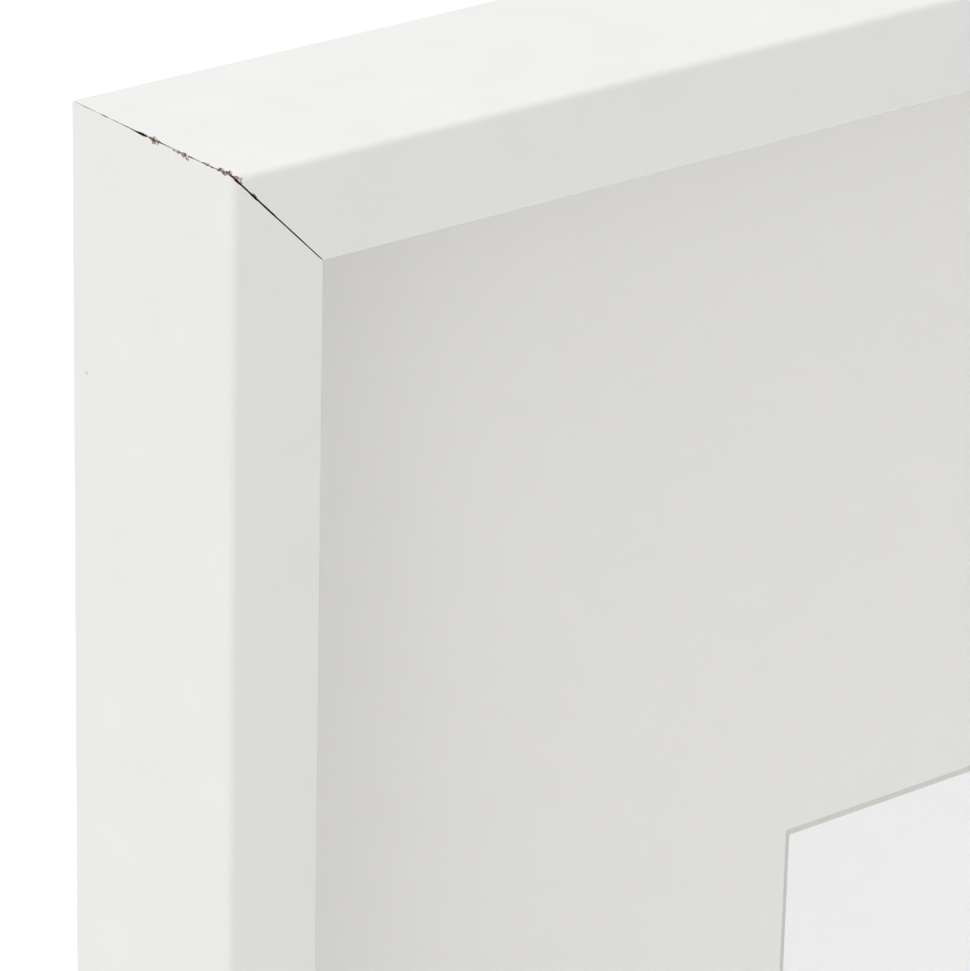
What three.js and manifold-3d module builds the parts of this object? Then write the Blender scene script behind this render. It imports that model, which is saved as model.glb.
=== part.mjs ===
// A deep white shadow box: four mitred rails, a clear front sheet, spacer strips that hold the window mat
// back from it, a display board, and a back panel under bendable steel tabs.
// Millimetres. +X is to the right seen from the front, +Y runs from the front to the back, +Z is up.
// The origin is under the middle of the box, on the surface that it stands on.
import * as THREE from "three";
import { mergeVertices } from "three/addons/utils/BufferGeometryUtils.js";
import Module from "manifold-3d";

const wasm = await Module();
wasm.setup();

// ---- Driving dimensions ----

// The sheets that the box takes, and the room round each of them.
const sheetWidth = 500;
const sheetHeight = 600;
const sheetClearance = 1;

// The rails: a side wall with a lip at the front.
const frameDepth = 45;
const wallThickness = 12;
const lipOverlap = 6.35;
const lipThickness = 5;
const frontRounding = 1.2;
const sightRounding = 0.8;
const rearRounding = 0.6;
const mitreGap = 0.3;

// The layers behind the lip. The spacers fill what the others leave of the depth.
const glazingThickness = 2;
const matThickness = 1.5;
const boardThickness = 1.5;
const panelThickness = 3;
const rearRecess = 4;
const spacerSetback = 0.35;

// The mat's window, where its bevel ends at the display board.
const windowWidth = 206;
const windowHeight = 268;

// The bendable tabs.
const tabLength = 14;
const tabWidth = 10;
const tabThickness = 0.5;
const tabsOnShortSide = 2;
const tabsOnLongSide = 3;

// The V-shaped nails across each mitre, two in line from the back.
const nailLeg = 5.5;
const nailThickness = 0.6;
const nailHeight = 10;
const nailSink = 0.5;

// The hangers: a strap rolled round a D-shaped ring, with one screw.
const hangerDrop = 200;
const strapWidth = 8;
const strapThickness = 0.8;
const strapLength = 21;
const screwDrop = 15;
const ringWire = 1.5;
const ringLeg = 4.5;
const ringSideGap = 0.4;
const ringCornerRadius = 1.3;
const screwShank = 2.8;
const screwLength = 12;
const screwTaper = 3.5;
const screwHead = 5.5;
const screwHeadHeight = 1.6;
const recessLength = 3;
const recessWidth = 0.7;
const recessDepth = 0.9;

// The soft bumpers that keep the lower corners off a wall.
const bumperDiameter = 9;
const bumperThickness = 3;
const bumperRise = 30;
const bumperRounding = 0.6;

// The room between a piece and the one that it sits in, turns in or lies on.
const fitGap = 0.3;

// ---- Sizes that follow ----

const outerWidth = sheetWidth + 2 * (sheetClearance + wallThickness);
const outerHeight = sheetHeight + 2 * (sheetClearance + wallThickness);
const faceWidth = wallThickness + lipOverlap;
const spacerThickness = lipOverlap - sheetClearance - spacerSetback;
const layersDepth = lipThickness + glazingThickness + matThickness + boardThickness + panelThickness;
const spacerDepth = frameDepth - layersDepth - rearRecess;
const barrelInner = ringWire / 2 + fitGap;
const barrelOuter = barrelInner + strapThickness;
const rearProjection = Math.max(2 * barrelOuter, bumperThickness);

// Depths of the layers' front faces, from the front of the box.
const glazingFront = lipThickness;
const spacerFront = glazingFront + glazingThickness;
const matFront = spacerFront + spacerDepth;
const boardFront = matFront + matThickness;
const panelFront = boardFront + boardThickness;
const panelRear = panelFront + panelThickness;

// ---- Materials ----

const finish = (color, roughness, metalness) =>
  new THREE.MeshStandardMaterial({ color, roughness, metalness });
const whiteFoil = finish(0xf1efeb, 0.5, 0);
const spacerFoil = finish(0xf3f2ef, 0.6, 0);
const clearSheet = finish(0xf4f8f8, 0.08, 0);
clearSheet.transparent = true;
clearSheet.opacity = 0.15;
const matCard = finish(0xeceae5, 0.85, 0);
const whiteCard = finish(0xf7f7f6, 0.8, 0);
const hardboard = finish(0x8a6a48, 0.75, 0);
const tabSteel = finish(0xa9abad, 0.4, 1);
const zincSteel = finish(0xc3c5c8, 0.32, 1);
const nailSteel = finish(0x8f9296, 0.45, 1);
const feltGrey = finish(0xd9d7d2, 0.9, 0);

// ---- Solids ----

// A closed geometry as a manifold solid, to cut.
function toSolid(geometry) {
  const bare = geometry.index ? geometry.toNonIndexed() : geometry.clone();
  bare.deleteAttribute("normal");
  bare.deleteAttribute("uv");
  const merged = mergeVertices(bare, 1e-4);
  const vertProperties = new Float32Array(merged.attributes.position.array);
  const triVerts = new Uint32Array(merged.index.array);
  return new wasm.Manifold(new wasm.Mesh({ numProp: 3, vertProperties, triVerts }));
}

// A manifold solid as a flat-shaded geometry.
function toGeometry(solid) {
  const mesh = solid.getMesh();
  const geometry = new THREE.BufferGeometry();
  geometry.setAttribute("position", new THREE.BufferAttribute(mesh.vertProperties, 3));
  geometry.setIndex(new THREE.BufferAttribute(mesh.triVerts, 1));
  const flat = geometry.toNonIndexed();
  flat.computeVertexNormals();
  return flat;
}

// A geometry with others cut out of it.
function cut(geometry, cutters) {
  const cutSolid = (solid, cutter) => solid.subtract(toSolid(cutter));
  return toGeometry(cutters.reduce(cutSolid, toSolid(geometry)));
}

// An outline drawn as (depth, height), drawn out along X about the middle.
function drawAlongX(outline, length, curveSegments = 6) {
  const geometry = new THREE.ExtrudeGeometry(outline, { depth: length, bevelEnabled: false, curveSegments });
  return geometry
    .translate(0, 0, -length / 2)
    .rotateX(Math.PI / 2)
    .rotateZ(Math.PI / 2);
}

// An outline drawn as (across, height), with its front face at y = front.
function plate(outline, front, thickness, curveSegments = 12) {
  const geometry = new THREE.ExtrudeGeometry(outline, {
    depth: thickness,
    bevelEnabled: false,
    curveSegments,
  });
  return geometry.rotateX(Math.PI / 2).translate(0, front + thickness, 0);
}

// A closed outline through [x, y, rounding] corners.
function roundedOutline(corners) {
  const shape = new THREE.Shape();
  corners.forEach(([x, y, rounding], i) => {
    const corner = new THREE.Vector2(x, y);
    const towards = (other) => new THREE.Vector2(other[0], other[1]).sub(corner).setLength(rounding);
    const before = corners[(i + corners.length - 1) % corners.length];
    const after = corners[(i + 1) % corners.length];
    const start = corner.clone().add(towards(before));
    const end = corner.clone().add(towards(after));
    if (i === 0) shape.moveTo(start.x, start.y);
    else shape.lineTo(start.x, start.y);
    if (rounding > 0) shape.quadraticCurveTo(x, y, end.x, end.y);
  });
  shape.closePath();
  return shape;
}

const rectangle = (x0, y0, x1, y1, rounding = 0) =>
  roundedOutline([
    [x0, y0, rounding],
    [x1, y0, rounding],
    [x1, y1, rounding],
    [x0, y1, rounding],
  ]);

function piece(name, geometry, material) {
  const mesh = new THREE.Mesh(geometry, material);
  mesh.name = name;
  return mesh;
}

// ---- The box's four sides ----

// Each side has a frame of its own: X along the side, Y to the back, Z from its outer face inwards.
const sides = [
  { name: "bottom", rail: "bottom_rail", length: outerWidth, at: [0, 0], turn: 0 },
  { name: "top", rail: "top_rail", length: outerWidth, at: [0, outerHeight], turn: Math.PI },
  { name: "left", rail: "left_stile", length: outerHeight, at: [-outerWidth / 2, outerHeight / 2], turn: Math.PI / 2 },
  { name: "right", rail: "right_stile", length: outerHeight, at: [outerWidth / 2, outerHeight / 2], turn: -Math.PI / 2 },
];

function sideGroup(side) {
  const group = new THREE.Group();
  group.position.set(side.at[0], 0, side.at[1]);
  group.rotation.y = side.turn;
  return group;
}

// The V-shaped strip across a mitre, in a corner's frame: X and Z run inwards along the two outer faces.
function cornerV(front, height, room) {
  const inset = (wallThickness - nailLeg - nailThickness) / 2;
  const near = inset - room;
  const far = inset + nailLeg + nailThickness + room;
  const inner = inset + nailThickness + room;
  const outline = roundedOutline([
    [near, near, 0],
    [far, near, 0],
    [far, inner, 0],
    [inner, inner, 0],
    [inner, far, 0],
    [near, far, 0],
  ]);
  return plate(outline, front, height);
}

// A rail: its section drawn along the side, its ends sheared to the mitres, and cut for what enters it.
// Each rounding is a single flat, so that the box stands steadily on its lower rail.
function railGeometry(side) {
  const section = roundedOutline([
    [0, 0, frontRounding],
    [frameDepth, 0, rearRounding],
    [frameDepth, wallThickness, rearRounding],
    [lipThickness, wallThickness, 0],
    [lipThickness, faceWidth, sightRounding / 2],
    [0, faceWidth, sightRounding],
  ]);
  const geometry = drawAlongX(section, side.length, 1);
  const position = geometry.attributes.position;
  const setback = mitreGap / Math.SQRT2;
  for (let i = 0; i < position.count; i++) {
    const end = side.length / 2 - position.getZ(i) - setback;
    position.setX(i, Math.sign(position.getX(i)) * end);
  }

  const slotDepth = nailSink + 2 * nailHeight + 2 * fitGap;
  const slotFront = frameDepth - slotDepth;
  const cutters = [
    cornerV(slotFront, slotDepth + fitGap, fitGap).translate(-side.length / 2, 0, 0),
    cornerV(slotFront, slotDepth + fitGap, fitGap)
      .rotateY(-Math.PI / 2)
      .translate(side.length / 2, 0, 0),
  ];
  const isStile = side.name === "left" || side.name === "right";
  if (isStile) {
    const up = side.name === "left" ? -1 : 1;
    const along = up * (outerHeight / 2 - hangerDrop - screwDrop);
    const holeLength = screwLength + 2 * fitGap;
    const hole = new THREE.CylinderGeometry(screwShank / 2 + fitGap, screwShank / 2 + fitGap, holeLength, 16);
    cutters.push(hole.translate(along, frameDepth + fitGap - holeLength / 2, wallThickness / 2));
  }
  return cut(geometry, cutters);
}

// A spacer strip. Those at the top and bottom run the full width, and the two others stand between them.
function spacerGeometry(side) {
  const isStile = side.name === "left" || side.name === "right";
  const full = side.length - 2 * (wallThickness + sheetClearance);
  const length = isStile ? full - 2 * spacerThickness : full;
  const outer = wallThickness + sheetClearance;
  const section = rectangle(spacerFront, outer, spacerFront + spacerDepth, outer + spacerThickness);
  return drawAlongX(section, length);
}

// A tab's blade, from the rail's inner wall over the back panel, with a rounded tip.
function tabGeometry(along) {
  const root = wallThickness + fitGap;
  const tip = root + tabLength;
  const outline = roundedOutline([
    [along - tabWidth / 2, root, 0],
    [along + tabWidth / 2, root, 0],
    [along + tabWidth / 2, tip, tabWidth * 0.4],
    [along - tabWidth / 2, tip, tabWidth * 0.4],
  ]);
  return plate(outline, panelRear + fitGap, tabThickness, 4);
}

const box = new THREE.Group();
box.position.y = -(frameDepth + rearProjection) / 2;

for (const side of sides) {
  const group = sideGroup(side);
  group.add(piece(side.rail, railGeometry(side), whiteFoil));
  group.add(piece(`spacer_${side.name}`, spacerGeometry(side), spacerFoil));
  const isStile = side.name === "left" || side.name === "right";
  const count = isStile ? tabsOnLongSide : tabsOnShortSide;
  for (let i = 0; i < count; i++) {
    const along = ((i + 0.5) / count - 0.5) * side.length;
    group.add(piece(`tab_${side.name}_${i + 1}`, tabGeometry(along), tabSteel));
  }
  box.add(group);
}

// ---- The corner nails ----

const corners = [
  { name: "bottom_left", at: [-outerWidth / 2, 0], turn: 0 },
  { name: "bottom_right", at: [outerWidth / 2, 0], turn: -Math.PI / 2 },
  { name: "top_right", at: [outerWidth / 2, outerHeight], turn: Math.PI },
  { name: "top_left", at: [-outerWidth / 2, outerHeight], turn: Math.PI / 2 },
];
const outerNailFront = frameDepth - nailSink - nailHeight;
const innerNailFront = outerNailFront - fitGap - nailHeight;
for (const corner of corners) {
  const group = new THREE.Group();
  group.position.set(corner.at[0], 0, corner.at[1]);
  group.rotation.y = corner.turn;
  group.add(piece(`corner_nail_${corner.name}_outer`, cornerV(outerNailFront, nailHeight, 0), nailSteel));
  group.add(piece(`corner_nail_${corner.name}_inner`, cornerV(innerNailFront, nailHeight, 0), nailSteel));
  box.add(group);
}

// ---- The sheets behind the lip, all of one format ----

const sheetOutline = () => {
  const low = wallThickness + sheetClearance;
  return rectangle(-sheetWidth / 2, low, sheetWidth / 2, low + sheetHeight);
};
box.add(piece("glazing_sheet", plate(sheetOutline(), glazingFront, glazingThickness), clearSheet));

// The mat's window is cut at 45 degrees, wider at the front, and stands in the middle of the sheet.
function matGeometry() {
  const reach = fitGap;
  const depth = matThickness + 2 * reach;
  const cutter = new THREE.BoxGeometry(windowWidth, depth, windowHeight);
  const position = cutter.attributes.position;
  for (let i = 0; i < position.count; i++) {
    const slope = position.getY(i) < 0 ? matThickness + reach : -reach;
    position.setX(i, position.getX(i) + Math.sign(position.getX(i)) * slope);
    position.setZ(i, position.getZ(i) + Math.sign(position.getZ(i)) * slope);
  }
  cutter.translate(0, matFront + matThickness / 2, outerHeight / 2);
  return cut(plate(sheetOutline(), matFront, matThickness), [cutter]);
}
box.add(piece("mat_board", matGeometry(), matCard));
box.add(piece("display_board", plate(sheetOutline(), boardFront, boardThickness), whiteCard));

box.add(piece("back_panel", plate(sheetOutline(), panelFront, panelThickness), hardboard));

// ---- The hangers on the two stiles ----

// The strap in section: up along the frame, over and round the ring's bar, and back to its own face.
function strapGeometry() {
  const start = Math.PI;
  const end = (-2 * Math.PI) / 3;
  const outline = new THREE.Shape();
  outline.moveTo(0, -strapLength);
  outline.lineTo(0, 0);
  outline.absarc(barrelOuter, 0, barrelOuter, start, end, true);
  outline.absarc(barrelOuter, 0, barrelInner, end, start, false);
  outline.lineTo(strapThickness, -strapLength);
  outline.closePath();
  const hole = new THREE.CylinderGeometry(
    screwShank / 2 + fitGap,
    screwShank / 2 + fitGap,
    strapThickness + 2 * fitGap,
    16,
  );
  hole.translate(0, strapThickness / 2, -screwDrop);
  return cut(drawAlongX(outline, strapWidth, 16), [hole]);
}

// The ring: a straight bar through the strap, two legs and a half circle below.
function ringGeometry() {
  const half = strapWidth / 2 + ringSideGap + ringWire / 2;
  const r = ringCornerRadius;
  const outline = new THREE.Shape();
  outline.moveTo(0, 0);
  outline.lineTo(half - r, 0);
  outline.quadraticCurveTo(half, 0, half, -r);
  outline.lineTo(half, -ringLeg);
  outline.absarc(0, -ringLeg, half, 0, -Math.PI, true);
  outline.lineTo(-half, -r);
  outline.quadraticCurveTo(-half, 0, r - half, 0);
  outline.closePath();
  const points = outline.getSpacedPoints(44).slice(0, -1);
  const path = new THREE.CatmullRomCurve3(
    points.map((p) => new THREE.Vector3(p.x, barrelOuter, p.y)),
    true,
  );
  return new THREE.TubeGeometry(path, 44, ringWire / 2, 8, true);
}

// A pan head screw along +Y, with the underside of its head at y = 0 and its point towards the front.
function screwGeometry() {
  const profile = [
    [0, -screwLength],
    [screwShank / 2, -screwLength + screwTaper],
    [screwShank / 2, 0],
    [screwHead / 2, 0],
    [screwHead / 2, screwHeadHeight * 0.45],
    [screwHead * 0.4, screwHeadHeight * 0.85],
    [screwHead * 0.2, screwHeadHeight],
    [0, screwHeadHeight],
  ];
  const body = new THREE.LatheGeometry(
    profile.map(([x, y]) => new THREE.Vector2(x, y)),
    20,
  );
  const slots = [0, Math.PI / 2].map((turn) =>
    new THREE.BoxGeometry(recessLength, 2 * recessDepth, recessWidth)
      .rotateY(turn)
      .translate(0, screwHeadHeight, 0),
  );
  return cut(body, slots);
}

// A round bumper with a softened rim, standing on y = 0.
function bumperGeometry() {
  const radius = bumperDiameter / 2;
  const profile = [
    [0, 0],
    [radius, 0],
    [radius, bumperThickness - bumperRounding],
    [radius - bumperRounding, bumperThickness],
    [0, bumperThickness],
  ];
  return new THREE.LatheGeometry(
    profile.map(([x, y]) => new THREE.Vector2(x, y)),
    24,
  );
}

for (const [name, across] of [
  ["left", wallThickness / 2 - outerWidth / 2],
  ["right", outerWidth / 2 - wallThickness / 2],
]) {
  const hanger = new THREE.Group();
  hanger.position.set(across, frameDepth, outerHeight - hangerDrop);
  hanger.add(piece(`hanger_strap_${name}`, strapGeometry(), zincSteel));
  hanger.add(piece(`hanger_ring_${name}`, ringGeometry(), zincSteel));
  const screw = piece(`hanger_screw_${name}`, screwGeometry(), zincSteel);
  screw.position.set(0, strapThickness, -screwDrop);
  hanger.add(screw);
  box.add(hanger);

  const bumper = piece(`wall_bumper_${name}`, bumperGeometry(), feltGrey);
  bumper.position.set(across, frameDepth, bumperRise);
  box.add(bumper);
}

const shadowBox = new THREE.Group();
shadowBox.add(box);
export default shadowBox;
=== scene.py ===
"""The looks of a deep white shadow box, built round its fixed frame.

Metres. +X is to the right seen from the front, +Y runs from the front to the back, +Z is up, and the box
stands on z = 0. A side of the box is modelled lying along X, with its outer face down at h = 0, its front at
y = 0 and its depth along +Y, and is then turned to its place.
"""
import math

import bmesh
import bpy
from mathutils import Matrix, Vector, noise


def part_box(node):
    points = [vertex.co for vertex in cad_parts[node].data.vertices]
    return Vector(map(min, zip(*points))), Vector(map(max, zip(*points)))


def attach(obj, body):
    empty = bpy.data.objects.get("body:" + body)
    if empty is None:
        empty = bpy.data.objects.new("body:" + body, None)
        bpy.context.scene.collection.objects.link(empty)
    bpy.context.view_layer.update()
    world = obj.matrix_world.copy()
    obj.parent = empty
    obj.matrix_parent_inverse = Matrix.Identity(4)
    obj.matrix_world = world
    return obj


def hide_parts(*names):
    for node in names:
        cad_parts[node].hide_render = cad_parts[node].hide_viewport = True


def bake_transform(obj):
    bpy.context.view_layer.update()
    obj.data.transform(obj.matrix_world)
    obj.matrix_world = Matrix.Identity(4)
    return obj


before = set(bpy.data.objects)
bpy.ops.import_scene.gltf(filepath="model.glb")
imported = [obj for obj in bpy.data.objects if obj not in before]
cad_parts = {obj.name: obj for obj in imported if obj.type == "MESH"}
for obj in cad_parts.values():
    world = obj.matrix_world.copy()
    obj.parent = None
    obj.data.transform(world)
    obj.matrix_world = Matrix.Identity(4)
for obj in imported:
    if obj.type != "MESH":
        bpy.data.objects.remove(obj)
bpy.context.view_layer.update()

bl_info = {
    "name": "Shadow box",
    "version": (1, 0, 0),
    "blender": (4, 5, 0),
    "location": "3D View > Sidebar > Shadow box",
    "description": "Makes a deep white display box with its mat, back and fittings",
    "category": "Add Mesh",
}

MM = 0.001
# Edges whose faces meet at more than this many degrees stay sharp.
SHARP_ABOVE = 40
# Places nearer than this are the same place.
CLOSE = 0.001 * MM

# ---- What the frame says ----

RAIL_LOW, RAIL_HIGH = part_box("top_rail")
FRONT = RAIL_LOW.y
DEPTH = RAIL_HIGH.y - RAIL_LOW.y
WIDTH = RAIL_HIGH.x - RAIL_LOW.x
HEIGHT = RAIL_HIGH.z
FACE = RAIL_HIGH.z - RAIL_LOW.z

# The four sides: rail, length, where the middle of the outer face stands, and the turn about Y.
SIDES = {
    "bottom": ("bottom_rail", WIDTH, (0, 0), 0),
    "top": ("top_rail", WIDTH, (0, HEIGHT), math.pi),
    "left": ("left_stile", HEIGHT, (-WIDTH / 2, HEIGHT / 2), math.pi / 2),
    "right": ("right_stile", HEIGHT, (WIDTH / 2, HEIGHT / 2), -math.pi / 2),
}
SEEDS = {"bottom": 11, "top": 23, "left": 37, "right": 53}

# Where the foil has torn along the top left mitre: place, half length, reach into the top rail and reach into
# the stile, in mm. The place is measured along the mitre from the front arris, below 0 towards the back.
TORN_PLACES = (
    (-23.8, 0.8, 0.20, 0.10),
    (-22.5, 1.1, 0.75, 0.25),
    (-21.3, 1.2, 0.50, 0.80),
    (-15.2, 1.3, 0.25, 0.45),
    (-13.5, 0.9, 0.35, 0.50),
    (-12.5, 0.6, 0.10, 1.25),
    (-7.3, 1.4, 0.45, 0.05),
    (-4.1, 1.2, 0.85, 0.20),
    (-2.4, 1.3, 1.00, 0.40),
    (0.3, 1.2, 0.95, 0.15),
    (4.1, 0.6, 0.35, 0.05),
)

# Where the same mitre gapes at its outer arris: place, half length, extra half opening, in mm.
GAPING_PLACES = (
    (-24.7, 1.6, 0.17),
    (-22.0, 0.9, 0.11),
    (-15.5, 2.5, 0.04),
    (-6.5, 2.2, 0.06),
    (2.2, 2.0, 0.05),
)


def linear(hex_colour):
    """An sRGB hex colour as linear red, green and blue."""
    parts = [int(hex_colour[i : i + 2], 16) / 255 for i in (1, 3, 5)]
    return tuple(c / 12.92 if c <= 0.04045 else ((c + 0.055) / 1.055) ** 2.4 for c in parts)


def colour_setting(name, description, hex_colour):
    """A colour that a user can change."""
    return bpy.props.FloatVectorProperty(
        name=name, description=description, default=linear(hex_colour), subtype="COLOR", size=3, min=0, max=1
    )


def length_setting(name, description, millimetres):
    """A length that a user can change."""
    return bpy.props.FloatProperty(
        name=name, description=description, default=millimetres * MM, min=0, subtype="DISTANCE", unit="LENGTH"
    )


def angle_setting(name, description, degrees):
    """An angle that a user can change."""
    return bpy.props.FloatProperty(
        name=name, description=description, default=math.radians(degrees), subtype="ANGLE"
    )


def strength_setting(name, description, strength):
    """A light's strength that a user can change."""
    return bpy.props.FloatProperty(name=name, description=description, default=strength, min=0)


class ShadowBoxSizes(bpy.types.PropertyGroup):
    """The sizes that the frame's boxes don't give."""

    wall: length_setting("Wall", "Thickness of a rail's side wall", 12)
    lip: length_setting("Lip", "Thickness of the lip in front of the clear sheet", 5)
    front_rounding: length_setting("Front rounding", "Radius of the outer front arris", 1.4)
    sight_rounding: length_setting("Sight rounding", "Radius of the inner front arris", 0.22)
    rear_rounding: length_setting("Rear rounding", "Radius of the rear arrises", 0.6)
    crack: length_setting("Mitre crack", "Half the opening of a mitre at the front arris", 0.18)
    window_bevel: length_setting("Window bevel", "Width of the mat's bevel cut", 2.2)
    ring_wire: length_setting("Ring wire", "Thickness of the hanger rings' wire", 1.5)


class ShadowBoxColours(bpy.types.PropertyGroup):
    """The colours of the finishes."""

    foil: colour_setting("Foil", "Matt white foil on the rails", "#d7d7d5")
    fibre: colour_setting("Fibreboard", "Raw fibreboard under the foil", "#b08a66")
    mat: colour_setting("Mat card", "Face of the window mat", "#e3e2de")
    # Partly the core's own off-white and partly painted shade: the grey darkens the whole bevel as if it
    # faced away from the light.
    core: colour_setting("Mat core", "Cut bevel of the window mat", "#c4c4bf")
    paper: colour_setting("Display card", "Board behind the mat's window", "#f4f4f5")
    hardboard: colour_setting("Hardboard", "Back panel", "#8a6444")
    felt: colour_setting("Felt", "Bumpers on the lower corners", "#cfccc5")
    floor: colour_setting("Floor", "Pale floor that the box stands on", "#f7f7f7")


class ShadowBoxStudio(bpy.types.PropertyGroup):
    """The camera and the lights."""

    sky: strength_setting("Room light", "Strength of the even light", 0.72)
    key: strength_setting("Key light", "Soft lamp front left", 0.17)
    top: strength_setting("Top light", "Soft lamp overhead", 1.73)
    side: strength_setting("Side light", "Soft lamp at the left", 0.44)
    azimuth: angle_setting("Azimuth", "Camera turn to the right", -39.12)
    elevation: angle_setting("Elevation", "Camera angle above the floor", 23.24)
    roll: angle_setting("Roll", "Camera tilt about its own axis", 1.33)
    distance: length_setting("Distance", "From the camera to the point it aims at", 1024.0)
    aim_right: length_setting("Aim right", "Aim point, right of the top left corner", 53.32)
    aim_down: length_setting("Aim down", "Aim point, below the top left corner", 66.95)
    lens: bpy.props.FloatProperty(
        name="Lens", description="Focal length on a 36 mm sensor, in mm", default=224.6, min=1
    )


# ---- Mesh helpers ----


def side_matrix(side):
    """Takes a side from its own frame to its place in the box."""
    at, turn = SIDES[side][2:]
    return Matrix.Translation((at[0], FRONT, at[1])) @ Matrix.Rotation(turn, 4, "Y")


def finished(name, bm, materials, smooth_below=SHARP_ABOVE):
    """Makes a piece from a bmesh, with its sharp edges marked, and frees the bmesh."""
    mesh = bpy.data.meshes.new(name)
    bm.to_mesh(mesh)
    bm.free()
    mesh.shade_smooth()
    mesh.set_sharp_from_angle(angle=math.radians(smooth_below))
    for material in materials:
        mesh.materials.append(material)
    piece = bpy.data.objects.new(name, mesh)
    bpy.context.scene.collection.objects.link(piece)
    return piece


def stands_for(piece, body, slot_name, *nodes):
    """Puts a piece on the body it rides on and hides the nodes it stands for; slot_name is not used."""
    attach(piece, body)
    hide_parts(*nodes)


def outline_face(bm, points):
    """A flat face through the points of an outline."""
    return bm.faces.new([bm.verts.new(point) for point in points])


def round_corners(bm, corners, segments):
    """Rounds a flat outline's corners: corners holds (vertex, radius)."""
    for vert, radius in corners:
        bmesh.ops.bevel(
            bm, geom=[vert], offset=radius, offset_type="OFFSET", segments=segments, profile=0.5,
            affect="VERTICES", material=-1,
        )


def bevel_edges(bm, edges, offset, segments=2):
    """Rounds edges."""
    bmesh.ops.bevel(
        bm, geom=list(edges), offset=offset, offset_type="OFFSET", segments=segments, profile=0.5,
        affect="EDGES", material=-1,
    )


def sharp_edges(bm, degrees=30):
    """The edges whose two faces meet at more than an angle."""
    return [e for e in bm.edges if len(e.link_faces) == 2 and e.calc_face_angle(0) > math.radians(degrees)]


def grow(bm, face, vector):
    """Extrudes a face and returns the moved copy. The face itself stays only where it closes the far end."""
    closes = all(len(e.link_faces) == 1 for e in face.edges)
    made = bmesh.ops.extrude_face_region(bm, geom=[face])["geom"]
    cap = next(g for g in made if isinstance(g, bmesh.types.BMFace))
    bmesh.ops.translate(bm, verts=cap.verts, vec=vector)
    if not closes and face.is_valid:
        bmesh.ops.delete(bm, geom=[face], context="FACES_ONLY")
    return cap


def face_out(bm):
    """Points every face outwards."""
    bmesh.ops.recalc_face_normals(bm, faces=bm.faces)


def cut_box(bm, low, high):
    """Adds a box between two corners and returns its vertices."""
    low, high = Vector(low), Vector(high)
    middle = Matrix.Translation((low + high) / 2) @ Matrix.Diagonal(high - low).to_4x4()
    return bmesh.ops.create_cube(bm, size=1, matrix=middle)["verts"]


def carve(piece, cutters):
    """Cuts the solids in a bmesh out of a piece, and frees the bmesh."""
    mesh = bpy.data.meshes.new("cutters")
    cutters.to_mesh(mesh)
    cutters.free()
    cutter = bpy.data.objects.new("cutters", mesh)
    bpy.context.scene.collection.objects.link(cutter)
    boolean = piece.modifiers.new("cut", "BOOLEAN")
    boolean.object = cutter
    boolean.operation = "DIFFERENCE"
    boolean.solver = "MANIFOLD"
    graph = bpy.context.evaluated_depsgraph_get()
    cut_mesh = bpy.data.meshes.new_from_object(piece.evaluated_get(graph), depsgraph=graph)
    cut_mesh.name = piece.name
    piece.modifiers.clear()
    piece.data = cut_mesh
    bpy.data.objects.remove(cutter)


# ---- Materials ----


def add(tree, kind, inputs=None, **settings):
    """Adds a node with its settings; inputs gives each socket a value or another node's socket."""
    node = tree.nodes.new(kind)
    for key, value in settings.items():
        setattr(node, key, value)
    for key, value in (inputs or {}).items():
        if isinstance(value, bpy.types.NodeSocket):
            tree.links.new(value, node.inputs[key])
        else:
            node.inputs[key].default_value = value
    return node


def new_material(name):
    """An empty material and its node tree."""
    material = bpy.data.materials.new(name)
    material.use_nodes = True
    material.node_tree.nodes.clear()
    return material, material.node_tree


def surfaced(material, shader):
    """Gives a material the shader as its surface, and returns it."""
    add(material.node_tree, "ShaderNodeOutputMaterial", {"Surface": shader.outputs[0]})
    return material


def rgba(colour, shade=1.0):
    """A colour for a socket, darker or lighter by shade."""
    return (colour[0] * shade, colour[1] * shade, colour[2] * shade, 1.0)


def mixed_tones(tree, pattern, span, first, second, share=(0.0, 1.0)):
    """Mixes two colours by a pattern: share is the second one's part at each end of the pattern's span."""
    part = add(
        tree, "ShaderNodeMapRange",
        {"Value": pattern, "From Min": span[0], "From Max": span[1], "To Min": share[0], "To Max": share[1]},
    )
    mix = add(tree, "ShaderNodeMix", {0: part.outputs["Result"], 6: first, 7: second}, data_type="RGBA")
    return mix.outputs[2]


def coated(material, colour, roughness, relief, depth, more=None):
    """Gives a material its colour, its roughness and a relief depth metres deep, and returns it."""
    bump = add(material.node_tree, "ShaderNodeBump", {"Strength": 1.0, "Distance": depth, "Height": relief})
    inputs = {"Base Color": colour, "Roughness": roughness, "Normal": bump.outputs["Normal"], **(more or {})}
    return surfaced(material, add(material.node_tree, "ShaderNodeBsdfPrincipled", inputs))


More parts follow.
